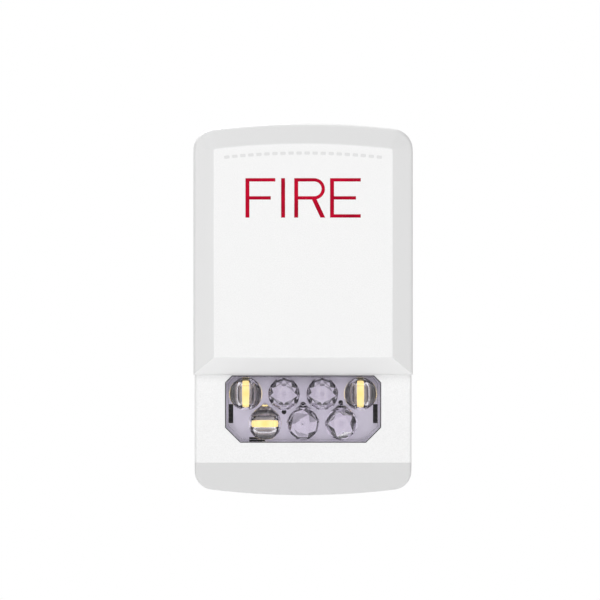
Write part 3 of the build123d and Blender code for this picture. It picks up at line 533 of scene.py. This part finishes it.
# Inside this radius the idle dishes are painted lighter: a painted pool of the light a dome gathers
DISH = 3.6 * MM  # radius of a bright idle dish
# Black bands painted under each idle dome's rim: painted shade, seen as dark glints through the
# facets
GLINT_SHADE_BAND, GLINT_SHADE_NOTCHES = (3.3 * MM, 5.2 * MM), 13
# Darker wedges painted on each idle dish: painted shade, seen as grey flats through the facets
GREY_FLAT_SHADE_BAND, GREY_FLAT_SHADE_COUNTS = (1.2 * MM, 2.4 * MM), (4, 4, 3, 5)
GATHERED_LIGHT = 0.2


def make_optic_pale():
    pale, painted_pool_light, black = (0.82, 0.79, 0.88), (0.97, 0.95, 1.0), (0.02, 0.018, 0.025)
    finish = new_finish("optic_pale", pale, 0.22, Coat_Weight=0.4)
    ramp = tint_by(finish, grain(finish, 6 * MM), shade(pale, 0.96), shade(pale, 1.04))
    bump_by(finish, grain(finish, 0.8 * MM), 0.006 * MM)
    tree = finish.node_tree
    place = tree.nodes.new("ShaderNodeTexCoord").outputs["Object"]
    masks = [band_mask(tree, place, x, z, 0, BORE_BLACK, deeper_than=PLATE_FRONT - 0.1 * MM)
             for x, z in LAMP_SITES]
    # Painted shade: a black band round each idle site
    masks += [band_mask(tree, place, x, z, *GLINT_SHADE_BAND, notches=GLINT_SHADE_NOTCHES) for x, z in IDLE_SITES]
    dishes = any_of(tree, [band_mask(tree, place, x, z, 0, DISH) for x, z in IDLE_SITES])
    # Painted light: the idle dishes are painted lighter
    colour = paint_over(tree, ramp.outputs["Color"], dishes, painted_pool_light)
    # Painted shade: darker wedges on each idle dish
    grey_flat_shades = [band_mask(tree, place, x, z, *GREY_FLAT_SHADE_BAND, notches=count)
             for (x, z), count in zip(IDLE_SITES, GREY_FLAT_SHADE_COUNTS)]
    colour = paint_over(tree, colour, any_of(tree, grey_flat_shades), shade(pale, 0.45))
    colour = paint_over(tree, colour, any_of(tree, masks), black)
    shader = tree.nodes["Principled BSDF"]
    shader.inputs["Emission Color"].default_value = (0.93, 0.88, 1.0, 1)
    painted_glow = calculate(tree, "MULTIPLY", dishes, GATHERED_LIGHT)
    tree.links.new(painted_glow, shader.inputs["Emission Strength"])
    tree.links.new(colour, shader.inputs["Base Color"])
    return finish


optic_pale = make_optic_pale()
print("plate front at", round(PLATE_FRONT / MM, 2), "mm")

# %% [markdown]
# ### Clear polycarbonate
#
# The lens is clear with a breath of lavender, and very smooth. Light should really bend in it, so
# it is a transmitting Principled shader with the plastic's own index of refraction, and not a pane
# of half-transparent paint. A little absorption in its depth darkens the long paths that light
# takes when a facet throws it sideways, and that is what gives each facet its own grey. Light on
# its way from the studio to the plate goes straight through instead of bending, which keeps the
# plate as bright as it should be at few samples.


# %% Clear lens plastic
def make_clear():
    tint = (0.99, 0.982, 1.0)
    finish = new_finish("clear_polycarbonate", tint, 0.015, Transmission_Weight=1.0, IOR=1.58)
    tint_by(finish, grain(finish, 5 * MM), shade(tint, 0.992), tint)
    tree = finish.node_tree
    output = tree.nodes["Material Output"]
    body = tree.nodes.new("ShaderNodeVolumeAbsorption")
    body.inputs["Color"].default_value = (0.52, 0.42, 0.6, 1)
    body.inputs["Density"].default_value = 24.0
    tree.links.new(body.outputs["Volume"], output.inputs["Volume"])
    path = tree.nodes.new("ShaderNodeLightPath").outputs
    straight = calculate(tree, "MAXIMUM", path["Is Shadow Ray"], path["Is Diffuse Ray"])
    passing = tree.nodes.new("ShaderNodeBsdfTransparent")
    passing.inputs["Color"].default_value = (0.985, 0.98, 0.99, 1)
    mix = tree.nodes.new("ShaderNodeMixShader")
    tree.links.new(straight, mix.inputs["Fac"])
    tree.links.new(tree.nodes["Principled BSDF"].outputs["BSDF"], mix.inputs[1])
    tree.links.new(passing.outputs["BSDF"], mix.inputs[2])
    tree.links.new(mix.outputs["Shader"], output.inputs["Surface"])
    return finish


clear = make_clear()
print("clear lens finish made")

# %% [markdown]
# ## The lens
#
# On the real part this is one clear moulding: a shallow tray with a wall round it, and seven
# hollow domes on its floor, each with a pocket behind it that is cut into facets, like a gem seen
# from the front. Four domes are round. Three are drawn up to a point between the round ones.
#
# It could be carved with booleans, but those leave ragged edges that clear plastic shows at once.
# So the tray is one face that is chamfered, extruded and inset, and each dome is a cut sphere whose
# open foot is joined to its faceted pocket. Each is closed on its own, and they stand a hair apart.

# %% Sizes of the lens, from the frame
lens_low, lens_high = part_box("lens")
WINDOW_WIDTH, WINDOW_TOP, WINDOW_BOTTOM = 55.6 * MM, -23.35 * MM, -47.3 * MM
SMALL_CHAMFER, LARGE_CHAMFER = 2.5 * MM, 5.4 * MM
FLANGE_GROW = 1.4 * MM  # how far the flange reaches behind the cover
WINDOW_GAP = 0.32 * MM  # gap between the window's edge and the wall of the lens
PEG = 1.96 * MM  # the CAD lens reaches this far behind its floor, with its locating peg
LENS_BACK = -lens_high.y + PEG
FLANGE_FRONT = LENS_BACK + 1.9 * MM
FLOOR_FRONT = LENS_BACK + 1.2 * MM
RIM = LENS_BACK + 5.5 * MM
RIM_ROUND = 0.22 * MM
WALL_WIDTH = 1.0 * MM
TOP_EASE = 0.6 * MM  # the wall is thinner by this along the top, where the domes come close
APEX = -lens_low.y
DOME_RADIUS = 5.9 * MM
DOME_MIDDLE = APEX - DOME_RADIUS
DOME_GAP = 0.02 * MM
DOME_FOOT = FLOOR_FRONT + DOME_GAP
TOUCH = 1e-6  # points nearer than this count as one place
print("lens floor at", round(LENS_BACK / MM, 2), "apex at", round(APEX / MM, 2))


# %% Outline and shells
def add_outline(bm, grow, depth):
    """One face in the outline of the lens window, grown by a width, at a depth."""
    width = WINDOW_WIDTH + 2 * grow
    height = WINDOW_TOP - WINDOW_BOTTOM + 2 * grow
    middle = (WINDOW_TOP + WINDOW_BOTTOM) / 2
    turn = Matrix.Translation((0, -depth, middle)) @ Matrix.Rotation(radians(90), 4, "X")
    bmesh.ops.create_grid(bm, x_segments=1, y_segments=1, size=0.5,
                          matrix=turn @ Matrix.Diagonal((width, height, 1, 1)))
    for side, leg in ((1, SMALL_CHAMFER), (-1, LARGE_CHAMFER)):
        corner = Vector((width / 2, -depth, middle + side * height / 2))
        corners = [v for v in bm.verts
                   if abs(abs(v.co.x) - corner.x) + abs(v.co.z - corner.z) < TOUCH]
        bmesh.ops.bevel(bm, geom=corners, offset=leg + grow * (2 - sqrt(2)), offset_type="OFFSET",
                        segments=1, profile=0.5, affect="VERTICES", material=-1)
    return bm.faces[:][0]


def rise(bm, faces, depth, keep=False):
    """Extrudes faces to a depth and returns the new ones. Only a back keeps its old ones."""
    made = bmesh.ops.extrude_face_region(bm, geom=faces)["geom"]
    tops = [g for g in made if isinstance(g, bmesh.types.BMFace)]
    if not keep:
        bmesh.ops.delete(bm, geom=faces, context="FACES_ONLY")
    for v in {v for face in tops for v in face.verts}:
        v.co.y = -depth
    return tops


def step_in(bm, face, width):
    """Insets a face and returns the faces of the frame that this leaves round it."""
    made = bmesh.ops.inset_region(
        bm, faces=[face], thickness=width, use_even_offset=True, use_boundary=True)
    return made["faces"]


def as_mesh(bm, name):
    """Turns a finished bmesh into a mesh, after counting what is open."""
    mesh = bpy.data.meshes.new(name)
    bm.to_mesh(mesh)
    open_edges = sum(1 for e in bm.edges if not e.is_manifold)
    print(name, "has", len(mesh.polygons), "faces and", open_edges, "open edges")
    bm.free()
    return mesh


def as_piece(name, mesh, finish):
    """Puts a mesh into the scene as an object with one finish."""
    piece = bpy.data.objects.new(name, mesh)
    bpy.context.scene.collection.objects.link(piece)
    mesh.materials.append(finish)
    return piece


# %% Tray of the lens
def add_tray(bm):
    """The flange, wall and floor as one closed shell, made from a single face."""
    back = add_outline(bm, FLANGE_GROW, LENS_BACK)
    flange = rise(bm, [back], FLANGE_FRONT, keep=True)[0]
    step_in(bm, flange, FLANGE_GROW + WINDOW_GAP)
    wall = rise(bm, [flange], RIM)[0]
    step_in(bm, wall, WALL_WIDTH)
    for v in wall.verts:
        if v.co.z > WINDOW_TOP - 2 * WALL_WIDTH:
            v.co.z += TOP_EASE
    rise(bm, [wall], FLOOR_FRONT)


bm = bmesh.new()
add_tray(bm)
bmesh.ops.recalc_face_normals(bm, faces=bm.faces)
rim_edges = [e for e in bm.edges if all(abs(v.co.y + RIM) < TOUCH for v in e.verts)]
bmesh.ops.bevel(bm, geom=rim_edges, offset=RIM_ROUND, offset_type="OFFSET", segments=3,
                profile=0.5, affect="EDGES", material=-1)
tray_mesh = as_mesh(bm, "lens_tray")

# %% [markdown]
# A dome starts as a sphere. A round one is cut at its middle. A pointed one is turned so that its
# pole is up, and the part above the circle where a cone would touch the sphere is drawn out to that
# cone. The cut rim is extruded down to the tray. The pocket is the convex hull of a few rings of
# points, which gives flat facets without any list of faces. Its rim lies in the same plane as the
# foot of the skin, so the ring between the two is filled with triangles.


# %% Outer skin of a dome
def add_skin(bm, x, z, reach=None):
    """The front half of a sphere with a straight skirt. reach draws its top out to a point."""
    poles = Matrix.Rotation(radians(90), 4, "X") if reach is None else Matrix.Identity(4)
    ball = bmesh.ops.create_uvsphere(
        bm, u_segments=48, v_segments=32, radius=DOME_RADIUS, matrix=poles)["verts"]
    if reach:
        touch = DOME_RADIUS**2 / reach
        touch_radius = sqrt(DOME_RADIUS**2 - touch**2)
        for v in ball:
            if v.co.z > touch:
                ring = sqrt(max(0.0, DOME_RADIUS**2 - v.co.z**2))
                v.co.z = touch + (touch_radius - ring) * (reach - touch) / touch_radius
    bmesh.ops.translate(bm, vec=(x, -DOME_MIDDLE, z), verts=ball)
    everything = bm.verts[:] + bm.edges[:] + bm.faces[:]
    bmesh.ops.bisect_plane(bm, geom=everything, dist=1e-7, plane_co=(0, -DOME_MIDDLE, 0),
                           plane_no=(0, 1, 0), clear_outer=True)
    for face in bm.faces:
        face.smooth = True
    rim = [e for e in bm.edges if e.is_boundary]
    made = bmesh.ops.extrude_edge_only(bm, edges=rim)["geom"]
    foot = [g for g in made if isinstance(g, bmesh.types.BMVert)]
    bmesh.ops.translate(bm, vec=(0, DOME_MIDDLE - DOME_FOOT, 0), verts=foot)
    return [e for e in bm.edges if e.is_boundary]


# %% Faceted pocket behind a dome
def add_pocket(bm, x, z, rings):
    """A hull round rings of points: (count, half width, half height, depth, turn in degrees)."""
    points = []
    for count, half_x, half_z, depth, turn in rings:
        place = (
            Matrix.Translation((x, -depth * MM, z))
            @ Matrix.Diagonal((half_x * MM, 1, half_z * MM, 1))
            @ Matrix.Rotation(radians(90), 4, "X")
            @ Matrix.Rotation(radians(turn), 4, "Z")
        )
        if count == 1:
            points += bmesh.ops.create_vert(bm, co=place.translation)["vert"]
        else:
            circle = bmesh.ops.create_circle(bm, segments=count, radius=1, matrix=place)
            points += circle["verts"]
    hull = bmesh.ops.convex_hull(bm, input=points, use_existing_faces=False)
    spare = {g for g in hull["geom_interior"] + hull["geom_unused"]
             if isinstance(g, bmesh.types.BMVert)}
    bmesh.ops.delete(bm, geom=list(spare), context="VERTS")
    mouth = [g for g in hull["geom"] if g.is_valid and isinstance(g, bmesh.types.BMFace)
             and all(abs(v.co.y + rings[0][3] * MM) < TOUCH for v in g.verts)]
    inside = {e for f in mouth for e in f.edges if all(g in mouth for g in e.link_faces)}
    rim = {e for f in mouth for e in f.edges} - inside
    bmesh.ops.delete(bm, geom=mouth + list(inside), context="FACES_KEEP_BOUNDARY")
    loose = [e for e in bm.edges if e.is_wire]
    bmesh.ops.delete(bm, geom=loose, context="EDGES")
    return [e for e in rim if e.is_valid]


def make_dome(x, z, reach, rings):
    """One closed dome, with its outer skin joined to its pocket round the foot."""
    bm = bmesh.new()
    foot = add_skin(bm, x, z, reach)
    mouth = add_pocket(bm, x, z, rings)
    bmesh.ops.triangle_fill(bm, edges=foot + mouth, use_beauty=True, normal=(0, 1, 0))
    bmesh.ops.recalc_face_normals(bm, faces=bm.faces)
    print("volume in cubic mm:", round(bm.calc_volume(signed=True) / MM**3))
    return as_mesh(bm, "dome")


# %% [markdown]
# The pockets differ with what they do. Behind the lamps a pocket has one long flat top, so the lamp
# strip shows straight through it and is drawn out to the full height of the dome. The idle ones
# spread light with rings of small facets.

# %% Seven domes
FOOT = DOME_FOOT / MM
LAMP_UPRIGHT = [(16, 4.4, 4.8, FOOT, 0), (8, 3.6, 4.7, 22.0, 22.5), (8, 2.2, 4.6, 23.6, 22.5),
                (4, 1.35, 5.6, 24.6, 45)]
LAMP_LEVEL = [(16, 4.8, 4.4, FOOT, 0), (8, 4.7, 3.6, 22.0, 22.5), (8, 4.6, 2.2, 23.6, 22.5),
              (4, 5.6, 1.35, 24.6, 45)]
FLUTED = [(22, 4.8, 4.8, FOOT, 0), (22, 4.6, 4.6, 22.2, 8.2), (11, 3.95, 3.95, 24.0, 0),
          (11, 3.1, 3.1, 24.9, 16.4), (4, 0.8, 3.4, 25.4, 45)]
STARRED = [(18, 4.8, 4.8, FOOT, 0), (18, 4.6, 4.6, 22.0, 10), (9, 4.0, 4.0, 23.7, 0),
           (3, 3.2, 3.2, 24.9, 90), (1, 1, 1, 26.0, 0)]
BROAD = [(12, 4.8, 4.8, FOOT, 0), (12, 4.6, 4.6, 22.0, 15), (5, 4.0, 4.0, 23.8, 18),
         (5, 2.5, 2.5, 25.2, 54)]
DOMES = [
    (-1.5 * LENS_PITCH, UPPER_ROW, None, LAMP_UPRIGHT),
    (-0.5 * LENS_PITCH, UPPER_ROW, None, FLUTED),
    (0.5 * LENS_PITCH, UPPER_ROW, None, FLUTED),
    (1.5 * LENS_PITCH, UPPER_ROW, None, LAMP_UPRIGHT),
    (-LENS_PITCH, LOWER_ROW, 7.5 * MM, LAMP_LEVEL),
    (0.0, LOWER_ROW, 7.5 * MM, STARRED),
    (LENS_PITCH, LOWER_ROW, 7.5 * MM, BROAD),
]
bm = bmesh.new()
bm.from_mesh(tray_mesh)
for x, z, reach, rings in DOMES:
    dome_mesh = make_dome(x, z, reach, rings)
    bm.from_mesh(dome_mesh)
    bpy.data.meshes.remove(dome_mesh)
lens = as_piece("faceted_lens", as_mesh(bm, "faceted_lens"), clear)
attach(lens, "head")
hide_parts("lens")

# %% [markdown]
# A thin black strip fills the gap between the window's edge and the wall of the lens. From the
# front it is a fine dark line all round: painted shade for the shadow in that gap. It is the
# window's outline, inset once and raised.

# %% Black strip of painted shade
HAIR = 0.03 * MM  # clearance to the cover, the wall and the flange
SHADE_STRIP_FRONT = FLANGE_FRONT + 1.9 * MM

bm = bmesh.new()
middle = add_outline(bm, -HAIR, FLANGE_FRONT + HAIR)
frame_faces = step_in(bm, middle, WINDOW_GAP - 2 * HAIR)
bmesh.ops.delete(bm, geom=[middle], context="FACES_ONLY")
rise(bm, frame_faces, SHADE_STRIP_FRONT, keep=True)
bmesh.ops.recalc_face_normals(bm, faces=bm.faces)
# A black strip, painted shade for the shadow in the gap round the window
shade_strip = as_piece("lens_shade_strip", as_mesh(bm, "lens_shade_strip"), block_black)
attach(shade_strip, "head")

# %% [markdown]
# ## Finish every part
#
# Each part gets the finish that its real counterpart has. The list is checked against the frame,
# so a part can't be forgotten.

# %% Give the finishes
FINISHES = {
    cover_white: ["front_cover"],
    ink_red: ["fire_lettering"],
    rear_grey: ["rear_cover"],
    plate_white: ["wall_plate"],
    block_black: ["terminal_block", "link_socket", "sounder_base", "candela_switch_body"],
    switch_red: ["dip_switch_body"],
    horn_black: ["sounder_horn"],
    knob_cream: ["link_plug", "candela_slider", "dip_slider_1", "dip_slider_2", "dip_slider_3"],
    zinc: ["terminal_screws", "cover_screws", "main_board_screws", "lamp_board_screws",
           "optic_screws", "lock_screw", "lock_nut"],
    brass: ["terminal_clamps", "contact_pins", "sounder_pins", "piezo_plate"],
    bronze: ["contact_springs"],
    ceramic: ["piezo_ceramic"],
    board_green: ["main_board"],
    board_black: ["lamp_board"],
    bare_can: ["storage_capacitors"],
    ferrite: ["inductor_core"],
    winding_copper: ["inductor_winding"],
    chip_black: ["control_chips"],
    optic_pale: ["optic_frame"],
    carrier_white: ["lamp_carriers"],
    phosphor: ["lamp_phosphors"],
    clear: ["lens"],
}
finished = set()
for finish, names in FINISHES.items():
    for name in names:
        mesh = nodes[name].data
        mesh.materials.clear()
        mesh.materials.append(finish)
        finished.add(name)
print("parts with no finish:", sorted(set(nodes) - finished))
